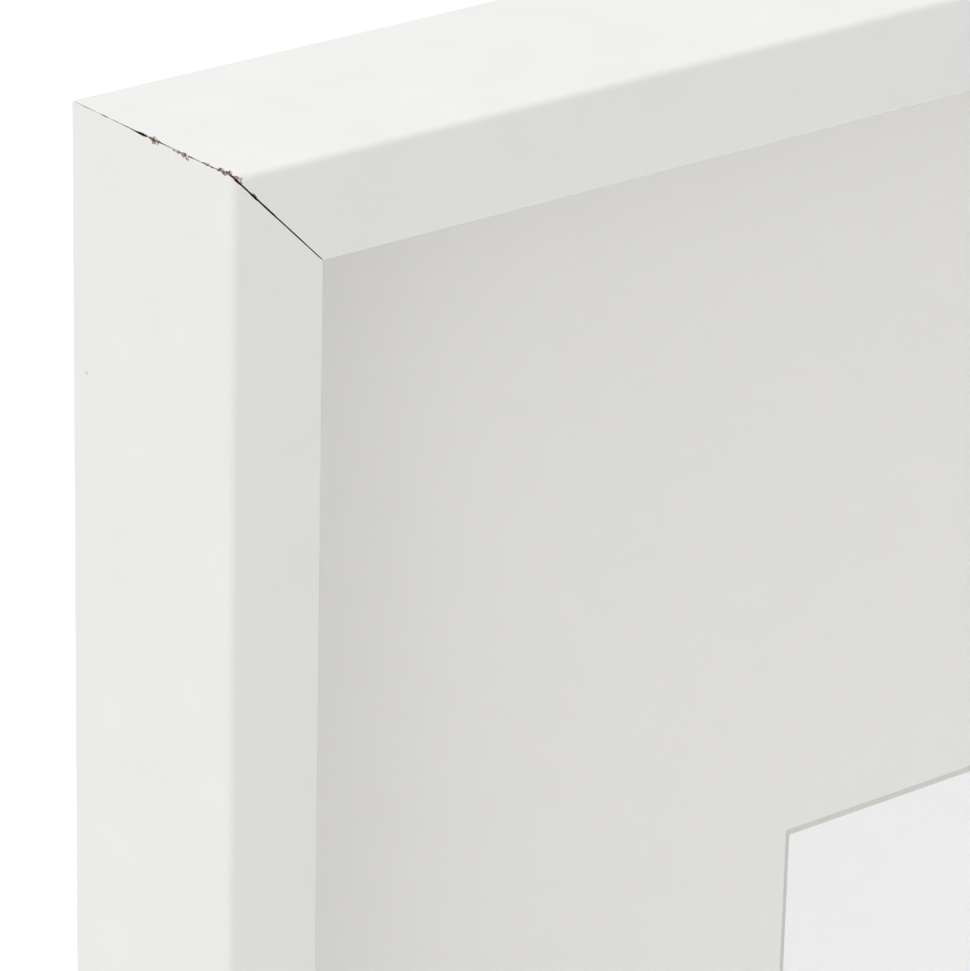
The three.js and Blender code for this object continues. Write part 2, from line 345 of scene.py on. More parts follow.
def foil_over_fibreboard(name, colours, along):
    """Matt white decor foil wrapped on fibreboard.

    The foil has a faint embossed grain that runs along the rail, a little unevenness of the board under it
    and a few dust specks. Where the attribute torn is high it is gone, and the brown fibre shows, its pale
    tones partly painted highlight.
    """
    material, tree = new_material(name)
    place = add(tree, "ShaderNodeTexCoord").outputs["Object"]
    stretch = [1.0, 1.0, 1.0]
    stretch[along] = 0.12
    grain_place = add(tree, "ShaderNodeMapping", {"Vector": place, "Scale": stretch}).outputs["Vector"]
    # Grain lines 0.35 mm apart, eight times as long.
    grain = add(tree, "ShaderNodeTexNoise", {"Vector": grain_place, "Scale": 1 / (0.35 * MM), "Detail": 3.0})
    # Pitting of the embossing roller, 0.5 mm.
    pits = add(tree, "ShaderNodeTexNoise", {"Vector": place, "Scale": 1 / (0.5 * MM), "Detail": 2.0})
    # Cloudy unevenness, 14 mm.
    cloud = add(tree, "ShaderNodeTexNoise", {"Vector": place, "Scale": 1 / (14 * MM), "Detail": 2.0})
    clouded = mixed_tones(
        tree, cloud.outputs["Fac"], (0.3, 0.7), rgba(colours.foil, 0.985), rgba(colours.foil, 1.01)
    )
    grained = mixed_tones(
        tree, grain.outputs["Fac"], (0.35, 0.65), clouded, rgba(linear("#c4c2bf")), (0.0, 0.045)
    )
    # Dust specks up to 1 mm across, one in each 26 mm cell, few of which meet the surface.
    cells = add(tree, "ShaderNodeTexVoronoi", {"Vector": place, "Scale": 1 / (26 * MM), "Randomness": 1.0})
    specked = mixed_tones(
        tree, cells.outputs["Distance"], (0.012, 0.02), grained, rgba(linear("#615f5b")), (0.35, 0.0)
    )
    # The torn edge is ragged at 0.4 mm.
    torn = add(tree, "ShaderNodeAttribute", attribute_name="torn").outputs["Fac"]
    ragged = add(tree, "ShaderNodeTexNoise", {"Vector": place, "Scale": 1 / (0.4 * MM), "Detail": 2.0})
    edge = add(tree, "ShaderNodeMath", {0: torn, 1: ragged.outputs["Fac"]}, operation="ADD")
    bare = add(
        tree, "ShaderNodeMapRange", {"Value": edge.outputs[0], "From Min": 0.96, "From Max": 1.04},
        interpolation_type="SMOOTHSTEP",
    )
    # Broken fibres 0.6 mm wide, in a random mix of a dark brown and a pale pinkish tone; the pale tone is
    # partly painted highlight.
    fibres = add(tree, "ShaderNodeTexNoise", {"Vector": place, "Scale": 1 / (0.6 * MM), "Detail": 3.0})
    fibre = mixed_tones(
        tree, fibres.outputs["Fac"], (0.42, 0.66), rgba(linear("#3d332d")), rgba(linear("#d0bbad"))
    )
    colour = add(tree, "ShaderNodeMix", {0: bare.outputs["Result"], 6: specked, 7: fibre}, data_type="RGBA")
    relief = add(tree, "ShaderNodeMath", {0: grain.outputs["Fac"], 1: pits.outputs["Fac"]}, operation="ADD")
    gloss = add(
        tree, "ShaderNodeMapRange",
        {"Value": cloud.outputs["Fac"], "From Min": 0.3, "From Max": 0.7, "To Min": 0.5, "To Max": 0.58},
    )
    return coated(
        material, colour.outputs[2], gloss.outputs["Result"], relief.outputs[0], 0.004 * MM, {"IOR": 1.45}
    )


def raw_fibreboard(colours):
    """Sawn medium density fibreboard: brown felted fibres with a dry, slightly furry face."""
    material, tree = new_material("raw_fibreboard")
    place = add(tree, "ShaderNodeTexCoord").outputs["Object"]
    fibres = add(tree, "ShaderNodeTexNoise", {"Vector": place, "Scale": 1 / (0.8 * MM), "Detail": 5.0})
    clumps = add(tree, "ShaderNodeTexNoise", {"Vector": place, "Scale": 1 / (4 * MM), "Detail": 3.0})
    both = add(tree, "ShaderNodeMath", {0: fibres.outputs["Fac"], 1: clumps.outputs["Fac"]}, operation="ADD")
    colour = mixed_tones(
        tree, both.outputs[0], (0.7, 1.3), rgba(colours.fibre, 0.72), rgba(colours.fibre, 1.18)
    )
    return coated(material, colour, 0.88, fibres.outputs["Fac"], 0.05 * MM)


def mitre_ends_painted_shade():
    """Sawn ends of the fibreboard, painted near black: painted shade that makes an open mitre look black."""
    material, tree = new_material("mitre_ends_painted_shade")
    place = add(tree, "ShaderNodeTexCoord").outputs["Object"]
    smears = add(tree, "ShaderNodeTexNoise", {"Vector": place, "Scale": 1 / (1.5 * MM), "Detail": 4.0})
    # Painted shade: a near-black colour for the inside of the gap, with random smears of tone.
    colour = mixed_tones(
        tree, smears.outputs["Fac"], (0.35, 0.65), rgba(linear("#171310")), rgba(linear("#332a23"))
    )
    shader = add(tree, "ShaderNodeBsdfPrincipled", {"Base Color": colour, "Roughness": 0.8})
    return surfaced(material, shader)


def card(name, colour, tooth, roughness=0.85):
    """Uncoated card: one even colour with a fine paper tooth, tooth metres wide, that takes off the shine."""
    material, tree = new_material(name)
    place = add(tree, "ShaderNodeTexCoord").outputs["Object"]
    fine = add(tree, "ShaderNodeTexNoise", {"Vector": place, "Scale": 1 / tooth, "Detail": 4.0})
    # The clumping of the fibres in the sheet, 6 mm.
    clumps = add(tree, "ShaderNodeTexNoise", {"Vector": place, "Scale": 1 / (6 * MM), "Detail": 3.0})
    tone = mixed_tones(tree, clumps.outputs["Fac"], (0.3, 0.7), rgba(colour, 0.994), rgba(colour, 1.004))
    return coated(material, tone, roughness, fine.outputs["Fac"], 0.0025 * MM, {"Specular IOR Level": 0.25})


def clear_acrylic():
    """Cast acrylic sheet: light goes straight through it, and it gives a weak clean reflection."""
    material, tree = new_material("clear_acrylic")
    through = add(tree, "ShaderNodeBsdfTransparent", {"Color": rgba(linear("#ffffff"), 0.99)})
    gloss = add(tree, "ShaderNodeBsdfGlossy", {"Color": rgba(linear("#ffffff")), "Roughness": 0.02})
    # Both faces give back 4 percent head on and more at a slant, and light inside is never trapped.
    slant = add(tree, "ShaderNodeLayerWeight", {"Blend": 0.5}).outputs["Facing"]
    steep = add(tree, "ShaderNodeMath", {0: slant, 1: 5.0}, operation="POWER")
    share = add(tree, "ShaderNodeMath", {0: steep.outputs[0], 1: 0.96, 2: 0.04}, operation="MULTIPLY_ADD")
    shader = add(
        tree, "ShaderNodeMixShader", {0: share.outputs[0], 1: through.outputs[0], 2: gloss.outputs[0]}
    )
    return surfaced(material, shader)


def hardboard(colours):
    """Wet process hardboard: dark pressed fibres, smooth and slightly shiny, with pale flecks."""
    material, tree = new_material("hardboard")
    place = add(tree, "ShaderNodeTexCoord").outputs["Object"]
    # Fibres 0.9 mm wide and four times as long, drawn coarser than the real ones so that they show.
    turned = add(tree, "ShaderNodeMapping", {"Vector": place, "Rotation": (0, 0.5, 0), "Scale": (0.25, 1, 1)})
    strands = add(
        tree, "ShaderNodeTexNoise",
        {"Vector": turned.outputs["Vector"], "Scale": 1 / (0.9 * MM), "Detail": 4.0, "Distortion": 1.2},
    )
    # Darker and paler clouds, 45 mm.
    cloud = add(tree, "ShaderNodeTexNoise", {"Vector": place, "Scale": 1 / (45 * MM), "Detail": 4.0})
    both = add(
        tree, "ShaderNodeMath", {0: cloud.outputs["Fac"], 1: 0.35, 2: strands.outputs["Fac"]},
        operation="MULTIPLY_ADD",
    )
    body = mixed_tones(
        tree, both.outputs[0], (0.45, 0.9), rgba(colours.hardboard, 0.7), rgba(colours.hardboard, 1.25)
    )
    # Pale flecks, one in each 5 mm cell.
    flecks = add(tree, "ShaderNodeTexVoronoi", {"Vector": turned.outputs["Vector"], "Scale": 1 / (5 * MM)})
    colour = mixed_tones(
        tree, flecks.outputs["Distance"], (0.03, 0.12), body, rgba(linear("#c39a70")), (0.5, 0.0)
    )
    gloss = add(
        tree, "ShaderNodeMapRange",
        {"Value": cloud.outputs["Fac"], "From Min": 0.3, "From Max": 0.7, "To Min": 0.48, "To Max": 0.62},
    )
    return coated(material, colour, gloss.outputs["Result"], strands.outputs["Fac"], 0.02 * MM)


def steel(name, light, dark, roughness, brushed):
    """Plated sheet or wire steel: a cool shine with light and dark spangles and marks brushed metres wide."""
    material, tree = new_material(name)
    place = add(tree, "ShaderNodeTexCoord").outputs["Object"]
    marks = add(tree, "ShaderNodeTexNoise", {"Vector": place, "Scale": 1 / brushed, "Detail": 5.0})
    spangle = add(tree, "ShaderNodeTexNoise", {"Vector": place, "Scale": 1 / (2.5 * MM), "Detail": 2.0})
    colour = mixed_tones(
        tree, spangle.outputs["Fac"], (0.35, 0.65), rgba(linear(dark)), rgba(linear(light))
    )
    gloss = add(
        tree, "ShaderNodeMapRange",
        {
            "Value": marks.outputs["Fac"], "From Min": 0.3, "From Max": 0.7,
            "To Min": roughness - 0.07, "To Max": roughness + 0.09,
        },
    )
    return coated(
        material, colour, gloss.outputs["Result"], marks.outputs["Fac"], 0.006 * MM, {"Metallic": 1.0}
    )


def felt(colours):
    """Pressed wool felt: pale fibres lying every way, with a soft sheen at the edges."""
    material, tree = new_material("felt")
    place = add(tree, "ShaderNodeTexCoord").outputs["Object"]
    fibres = add(
        tree, "ShaderNodeTexNoise",
        {"Vector": place, "Scale": 1 / (0.3 * MM), "Detail": 4.0, "Distortion": 2.0},
    )
    colour = mixed_tones(
        tree, fibres.outputs["Fac"], (0.35, 0.65), rgba(colours.felt, 0.7), rgba(colours.felt, 1.1)
    )
    return coated(material, colour, 0.95, fibres.outputs["Fac"], 0.12 * MM, {"Sheen Weight": 0.4})


# ---- The rails ----

# Loops across a rail near each mitre, in mm from it. They are close together where the foil can be torn.
STRIP = (0, 0.08, 0.16, 0.26, 0.38, 0.52, 0.7, 0.9, 1.15, 1.5, 2.2, 4.0)
STRIP_STEP = 0.25 * MM
STRIP_END = 3.9 * MM
# How deep below the outer and front faces the foil can be torn, and how far it stays whole at the rear.
SKIN = 1.3 * MM
WHOLE_REAR = 0.5 * MM
LEAST_OPENING = 0.02 * MM
# The worn joint's line leans towards the top rail just behind the front arris: how far, where and how long.
LEAN, LEAN_MIDDLE, LEAN_HALF = 0.3 * MM, -2.4 * MM, 3.2 * MM
WORN_SEED = 7

# The finishes' slots on a rail; the mitre faces' slot carries the painted shade of the mitre gaps.
FOIL, BARE, SAWN = 0, 1, 2

# The slots for the corner nails and the tabs, with room round them.
NAIL_GAUGE = 0.6 * MM
NAIL_SLOT_DEPTH = 21.1 * MM
NAIL_ROOM = 0.2 * MM
TAB_SLOT_HALF_WIDTH, TAB_SLOT_HALF_HEIGHT, TAB_SLOT_DEPTH = 5.2 * MM, 0.42 * MM, 3.4 * MM
PAST_FACE = 1 * MM


def along_mitre(y, h):
    """Place along a mitre's line in metres: below 0 over the outer face, above 0 over the front face."""
    return h - y


def wander(place, seed, scale):
    """Smooth noise from -1 to 1 along a mitre, with bumps about scale metres long."""
    return noise.noise(Vector((place / scale, seed * 1.37, 0.5)))


def tear_at(place, away, seed, on_top_rail, at_worn_corner):
    """How far the foil is torn, 0 to 1, at a place along the mitre and a distance from it."""
    torn = 0.0
    if at_worn_corner:
        for middle, half, reach_top, reach_stile in TORN_PLACES:
            reach = (reach_top if on_top_rail else reach_stile) * MM
            span = 1 - abs(place - middle * MM) / (half * MM)
            if span > 0:
                width = reach * math.sqrt(span) * (1 + 0.35 * wander(place, seed, 0.5 * MM))
                torn = max(torn, 1 - away / max(2 * width, CLOSE))
    # The sound mitres are only rubbed, in nicks of up to 0.05 mm.
    rub = 0.5 + 0.5 * wander(place, seed + 5, 3 * MM)
    nick = 0.0 if at_worn_corner else 0.12 * MM * max(0.0, rub - 0.55)
    return max(torn, 0.9 - away / max(2 * nick, CLOSE) if nick > 0 else 0.0, 0.0)


def opening_at(place, seed, crack, at_worn_corner):
    """Half the mitre's opening: a broken hairline at the back, widest at the front arris, closing inwards."""
    uneven = 1 + 0.25 * wander(place, seed, 2.5 * MM) + 0.25 * wander(place, seed + 3, 0.6 * MM)
    if place > 0:
        return crack * (1.0 - 0.6 * min(1.0, place / FACE)) * uneven
    broken = max(0.1, 1 + 1.2 * wander(place, seed + 1, 1.8 * MM))
    share = (0.26 if place < -0.5 * DEPTH else 0.36) * broken
    gape = 0.0
    if at_worn_corner:
        for middle, half, extra in GAPING_PLACES:
            gape += extra * MM * max(0.0, 1 - (abs(place - middle * MM) / (half * MM)) ** 2)
    front = math.exp(place / (1.2 * MM))
    return crack * (share * (1 - front) + front) * uneven + gape


def rail_bar(side, sizes):
    """A side's rail in its own frame: its section drawn along X, with loops near both ends."""
    length = SIDES[side][1]
    bm = bmesh.new()
    corners = [
        (0, 0, sizes.front_rounding),
        (DEPTH, 0, sizes.rear_rounding),
        (DEPTH, sizes.wall, sizes.rear_rounding),
        (sizes.lip, sizes.wall, 0),
        (sizes.lip, FACE, sizes.sight_rounding / 2),
        (0, FACE, sizes.sight_rounding),
    ]
    section = outline_face(bm, [(-length / 2, y, h) for y, h, _ in corners])
    round_corners(bm, [(v, c[2]) for v, c in zip(list(section.verts), corners) if c[2] > 0], 6)
    section = bm.faces[:][0]
    for edge in section.edges[:]:
        a, b = edge.verts
        on_outer = abs(a.co.z) < CLOSE and abs(b.co.z) < CLOSE
        on_front = abs(a.co.y) < CLOSE and abs(b.co.y) < CLOSE
        if on_outer or on_front:
            bmesh.ops.subdivide_edges(bm, edges=[edge], cuts=int(edge.calc_length() / STRIP_STEP))
    cap = bm.faces[:][0]
    stations = [-length / 2 + t * MM for t in STRIP] + [length / 2 - t * MM for t in reversed(STRIP)]
    for before, after in zip(stations, stations[1:]):
        cap = grow(bm, cap, (after - before, 0, 0))
    face_out(bm)
    return bm


def lay_to_mitres(bm, side, sizes):
    """Shears the ends to their open mitres and sinks the torn places; writes how far each vertex is torn."""
    length = SIDES[side][1]
    layer = bm.verts.layers.float.new("torn")
    for vert in bm.verts:
        x, y, h = vert.co
        end = 1 if x > 0 else -1
        away = length / 2 - abs(x)
        at_worn_corner = (side, end) in (("top", 1), ("left", -1))
        seed = SEEDS[side] + end
        place = along_mitre(y, h)
        opening = 0.9 * sizes.crack
        torn = 0.0
        if min(y, h) < SKIN and y < DEPTH - WHOLE_REAR:
            opening = opening_at(place, WORN_SEED if at_worn_corner else seed, sizes.crack, at_worn_corner)
            if away < STRIP_END:
                torn = tear_at(place, away, seed, side == "top", at_worn_corner)
            if at_worn_corner:
                lean = LEAN * max(0.0, 1 - ((place - LEAN_MIDDLE) / LEAN_HALF) ** 2)
                opening += lean if side == "top" else -lean
        # The opening is measured square to the mitre, which is at 45 degrees to the rail.
        vert.co.x = end * (length / 2 - away - h - max(LEAST_OPENING, opening) * math.sqrt(2))
        # Where the foil is gone the board is sunk unevenly, up to 0.23 mm.
        if torn > 0.3:
            depth = (0.13 + 0.10 * wander(place + away, seed + 9, 0.4 * MM)) * MM
            sink = min(1.0, (torn - 0.3) * 2.2) * depth
            if h <= y:
                vert.co.z += sink
            if y <= h:
                vert.co.y += sink
        vert[layer] = torn


def tab_names(side):
    """The names of a side's tabs."""
    return sorted(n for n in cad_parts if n.startswith(f"tab_{side}_"))


def rail_cutters(side, sizes):
    """The slots that a rail has for its corner nails and its tabs, in its own frame."""
    length = SIDES[side][1]
    turn_back = side_matrix(side).inverted()
    bm = bmesh.new()
    low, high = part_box("corner_nail_bottom_left_outer")
    near, far = low.x + WIDTH / 2, high.x + WIDTH / 2
    bottom, top = DEPTH - NAIL_SLOT_DEPTH, DEPTH + PAST_FACE
    for end in (-1, 1):
        # One leg lies along the rail and the other across it: the rail keeps its half of both.
        x0 = end * (length / 2 - near + NAIL_ROOM)
        x1 = end * (length / 2 - near - NAIL_GAUGE - NAIL_ROOM)
        x2 = end * (length / 2 - far - NAIL_ROOM)
        along_top = near + NAIL_GAUGE + NAIL_ROOM
        cut_box(bm, (min(x0, x2), bottom, near - NAIL_ROOM), (max(x0, x2), top, along_top))
        # The second slot starts a hair inside the first, so that the two overlap.
        overlap = 0.01 * NAIL_ROOM
        cut_box(bm, (min(x0, x1), bottom, along_top - overlap), (max(x0, x1), top, far + NAIL_ROOM))
    for name in tab_names(side):
        low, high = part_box(name)
        middle = turn_back @ ((low + high) / 2)
        cut_box(
            bm,
            (middle.x - TAB_SLOT_HALF_WIDTH, middle.y - TAB_SLOT_HALF_HEIGHT, sizes.wall - TAB_SLOT_DEPTH),
            (middle.x + TAB_SLOT_HALF_WIDTH, middle.y + TAB_SLOT_HALF_HEIGHT, sizes.wall + PAST_FACE),
        )
    return bm


def rail_finish(face, sizes):
    """Which finish a rail's face has: the foil stops at the rear arris and in the rebate."""
    at, normal = face.center, face.normal
    if abs(normal.x) > 0.5 and normal.z > 0.5:
        # The mitre faces get the near-black painted shade.
        return SAWN
    rear = normal.y > 0.7 and at.y > DEPTH - 0.3 * MM
    rebate = at.z > sizes.wall - 0.01 * MM and at.y > sizes.lip + 0.01 * MM
    slot = at.y > sizes.lip and 0.8 * MM < at.z < sizes.wall - 0.01 * MM
    return BARE if rear or rebate or slot else FOIL


class SHADOWBOX_OT_rails(bpy.types.Operator):
    """Make the four foil-wrapped rails with their mitres"""

    bl_idname = "shadowbox.rails"
    bl_label = "Rails"

    def execute(self, context):
        sizes, colours = context.scene.shadow_box_sizes, context.scene.shadow_box_colours
        bare, sawn = raw_fibreboard(colours), mitre_ends_painted_shade()
        across = foil_over_fibreboard("white_foil_across", colours, 0)
        upright = foil_over_fibreboard("white_foil_upright", colours, 2)
        foils = {"bottom": across, "top": across, "left": upright, "right": upright}
        for side, (rail, *_) in SIDES.items():
            bm = rail_bar(side, sizes)
            lay_to_mitres(bm, side, sizes)
            piece = finished(f"{rail}_wrapped", bm, [foils[side], bare, sawn])
            carve(piece, rail_cutters(side, sizes))
            mesh = piece.data
            mesh.set_sharp_from_angle(angle=math.radians(SHARP_ABOVE))
            for face in mesh.polygons:
                face.material_index = rail_finish(face, sizes)
            mesh.transform(side_matrix(side))
            stands_for(piece, "frame", "white_foil", rail)
        return {"FINISHED"}


class SHADOWBOX_OT_nails(bpy.types.Operator):
    """Finish the V-shaped corner nails"""

    bl_idname = "shadowbox.nails"
    bl_label = "Corner nails"

    def execute(self, context):
        finish = steel("blued_nail_steel", "#8d9094", "#6d6e72", 0.42, 0.5 * MM)
        for name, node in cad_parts.items():
            if name.startswith("corner_nail_"):
                node.data.materials.clear()
                node.data.materials.append(finish)
        return {"FINISHED"}


# ---- The sheets ----


def sheet_bm(node, edge_rounding):
    """A board the size of a node, with its edges eased."""
    bm = bmesh.new()
    cut_box(bm, *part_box(node))
    bevel_edges(bm, bm.edges, edge_rounding, 3)
    face_out(bm)
    return bm


def make_sheet(name, node, edge_rounding, finish, body, slot_name):
    """Makes a plain board that stands for a node."""
    piece = finished(name, sheet_bm(node, edge_rounding), [finish])
    stands_for(piece, body, slot_name, node)


class SHADOWBOX_OT_glazing(bpy.types.Operator):
    """Make the clear sheet behind the lip"""

    bl_idname = "shadowbox.glazing"
    bl_label = "Clear sheet"

    def execute(self, context):
        make_sheet("clear_sheet", "glazing_sheet", 0.15 * MM, clear_acrylic(), "glazing", "clear_acrylic")
        return {"FINISHED"}


class SHADOWBOX_OT_spacers(bpy.types.Operator):
    """Make the four strips that hold the mat back from the clear sheet"""

    bl_idname = "shadowbox.spacers"
    bl_label = "Spacers"

    def execute(self, context):
        colours = context.scene.shadow_box_colours
        finish = card("white_strip_card", colours.mat, 0.3 * MM, 0.7)
        for side in SIDES:
            name = f"spacer_strip_{side}"
            make_sheet(name, f"spacer_{side}", 0.25 * MM, finish, "spacers", "spacer_foil")
        return {"FINISHED"}


class SHADOWBOX_OT_mat(bpy.types.Operator):
    """Make the window mat with its bevel cut"""

    bl_idname = "shadowbox.mat"
    bl_label = "Mat"

    def execute(self, context):
        sizes, colours = context.scene.shadow_box_sizes, context.scene.shadow_box_colours
        low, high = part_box("mat_board")
        inner = [v.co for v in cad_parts["mat_board"].data.vertices if abs(v.co.x) < high.x - 5 * MM]
        middle = (low.z + high.z) / 2
        thickness = high.y - low.y
        # The window at the mat's back is the frame's; the bevel opens it towards the front.
        half_width = min(abs(p.x) for p in inner) + sizes.window_bevel
        half_height = min(abs(p.z - middle) for p in inner) + sizes.window_bevel
        bm = bmesh.new()
        corners = [(low.x, low.z), (high.x, low.z), (high.x, high.z), (low.x, high.z)]
        face = outline_face(bm, [(x, low.y, z) for x, z in corners])
        # Inset to the window's front edge, then push the window back and in to make the bevel.
        bmesh.ops.inset_region(bm, faces=[face], thickness=10 * MM, use_even_offset=True, use_boundary=True)
        for vert in face.verts:
            vert.co.x = math.copysign(half_width, vert.co.x)
            vert.co.z = middle + math.copysign(half_height, vert.co.z - middle)
        cap = grow(bm, face, (0, thickness, 0))
        for vert in cap.verts:
            vert.co.x -= math.copysign(sizes.window_bevel, vert.co.x)
            vert.co.z -= math.copysign(sizes.window_bevel, vert.co.z - middle)
        rim = list(cap.edges)
        bmesh.ops.delete(bm, geom=[cap], context="FACES_ONLY")
        outer = [e for e in bm.edges if e.is_boundary and e not in rim]
        made = bmesh.ops.extrude_edge_only(bm, edges=outer)["geom"]
        moved = [g for g in made if isinstance(g, bmesh.types.BMVert)]
        bmesh.ops.translate(bm, verts=moved, vec=(0, thickness, 0))
        back = [g for g in made if isinstance(g, bmesh.types.BMEdge) and g.is_boundary]
        bmesh.ops.bridge_loops(bm, edges=back + rim)
        face_out(bm)
        for f in bm.faces:
            on_bevel = 0.2 < abs(f.normal.y) < 0.9
            f.material_index = 1 if on_bevel else 0

        def on_outline(point):
            return abs(point.x) > high.x - CLOSE or point.z > high.z - CLOSE or point.z < low.z + CLOSE

        def on_window(point):
            across = abs(point.x) < half_width + 0.1 * MM
            upright = abs(point.z - middle) < half_height + 0.1 * MM
            return across and upright and abs(point.y - low.y) < CLOSE

        outside = [e for e in sharp_edges(bm) if all(on_outline(v.co) for v in e.verts)]
        bevel_edges(bm, outside, 0.12 * MM, 2)
        arris = [e for e in sharp_edges(bm, 20) if all(on_window(v.co) for v in e.verts)]
        bevel_edges(bm, arris, 0.08 * MM, 2)
        # The bevel's core colour is partly painted shade.
        piece = finished(
            "window_mat", bm,
            [card("mat_card", colours.mat, 0.22 * MM), card("bevel_core_painted_shade", colours.core, 0.12 * MM, 0.9)],
            smooth_below=30,
        )
        stands_for(piece, "mat_board", "mat_card", "mat_board")
        return {"FINISHED"}


class SHADOWBOX_OT_display(bpy.types.Operator):
    """Make the white board that shows in the window"""

    bl_idname = "shadowbox.display"
    bl_label = "Display board"

    def execute(self, context):
        colours = context.scene.shadow_box_colours
        finish = card("display_card", colours.paper, 0.15 * MM, 0.8)
        make_sheet(
            "white_display_card", "display_board", 0.15 * MM, finish, "display_board", "display_card"
        )
        return {"FINISHED"}


class SHADOWBOX_OT_back(bpy.types.Operator):
    """Make the hardboard back panel"""

    bl_idname = "shadowbox.back"
    bl_label = "Back panel"

    def execute(self, context):
        finish = hardboard(context.scene.shadow_box_colours)
        make_sheet("hardboard_back", "back_panel", 0.3 * MM, finish, "back_panel", "hardboard")
        return {"FINISHED"}


# ---- The fittings ----

# How deep a tab stands in its rail, and the length over which its blade bends.
TAB_ROOT = 3 * MM
# Loops across the bend: how many, where the first is from the rail's inner face, and how far apart.
BEND_LOOPS, BEND_START, BEND_STEP = 13, -0.6 * MM, 0.25 * MM

# The hanger's strap: its sheet, how many degrees it is rolled round the ring, and its lower corners.
STRAP_GAUGE = 0.8 * MM
STRAP_ROLL = 296
STRAP_CORNER = 2.6 * MM
# The bend at each end of the ring's straight side.
RING_CORNER = 1.3 * MM
# The pan-head screw: its head's height, half its shank and the turn of its cross recess in radians.
SCREW_HEAD = 1.6 * MM
SCREW_SHANK = 1.25 * MM
SCREW_TURN = 0.35


class SHADOWBOX_OT_tabs(bpy.types.Operator):
    """Make the bendable tabs that hold the back panel"""

    bl_idname = "shadowbox.tabs"
    bl_label = "Tabs"

    def execute(self, context):
        sizes = context.scene.shadow_box_sizes
        finish = steel("bright_tab_steel", "#b9bbbd", "#9c9ea1", 0.36, 0.35 * MM)
        for side in SIDES:
            turn = side_matrix(side)
            for name in tab_names(side):
                low, high = (turn.inverted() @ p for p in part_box(name))
                half = abs(high.x - low.x) / 2
                middle, tip = (high.x + low.x) / 2, max(high.z, low.z)
                front, thick = min(high.y, low.y), abs(high.y - low.y)
                stub = sizes.wall - TAB_ROOT
                bm = bmesh.new()
                corners = [(-half, stub), (half, stub), (half, tip), (-half, tip)]
                face = outline_face(bm, [(middle + x, front, h) for x, h in corners])
                round_corners(bm, [(v, half * 0.8) for v in list(face.verts) if v.co.z > stub + CLOSE], 8)
                face = bm.faces[:][0]
                grow(bm, face, (0, thick, 0))
                face_out(bm)
                bevel_edges(bm, sharp_edges(bm), 0.08 * MM, 2)
                # Loops across the bend, so that the blade curls out of its slit.
                for loop in range(BEND_LOOPS):
                    at = sizes.wall + BEND_START + loop * BEND_STEP
                    whole = bm.verts[:] + bm.edges[:] + bm.faces[:]
                    bmesh.ops.bisect_plane(bm, geom=whole, plane_co=(0, 0, at), plane_no=(0, 0, 1))
                bmesh.ops.transform(bm, matrix=turn, verts=bm.verts)
                piece = finished(f"{name}_blade", bm, [finish])
                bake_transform(piece)
                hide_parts(name)
        return {"FINISHED"}


def spin_loop(bm, edges, centre, axis, angle, steps):
    """Sweeps an edge loop round an axis and returns the last loop's edges."""
    verts = {v for e in edges for v in e.verts}
    last = bmesh.ops.spin(
        bm, geom=list(verts) + list(edges), cent=centre, axis=axis, angle=angle, steps=steps,
        dvec=(0, 0, 0), use_duplicate=False,
    )["geom_last"]
    return [g for g in last if isinstance(g, bmesh.types.BMEdge)]


def draw_loop(bm, edges, vector):
    """Extrudes an edge loop along a vector and returns the moved loop's edges."""
    made = bmesh.ops.extrude_edge_only(bm, edges=edges)["geom"]
    verts = [g for g in made if isinstance(g, bmesh.types.BMVert)]
    bmesh.ops.translate(bm, verts=verts, vec=vector)
    moved = set(verts)
    return [g for g in made if isinstance(g, bmesh.types.BMEdge) and set(g.verts) <= moved]


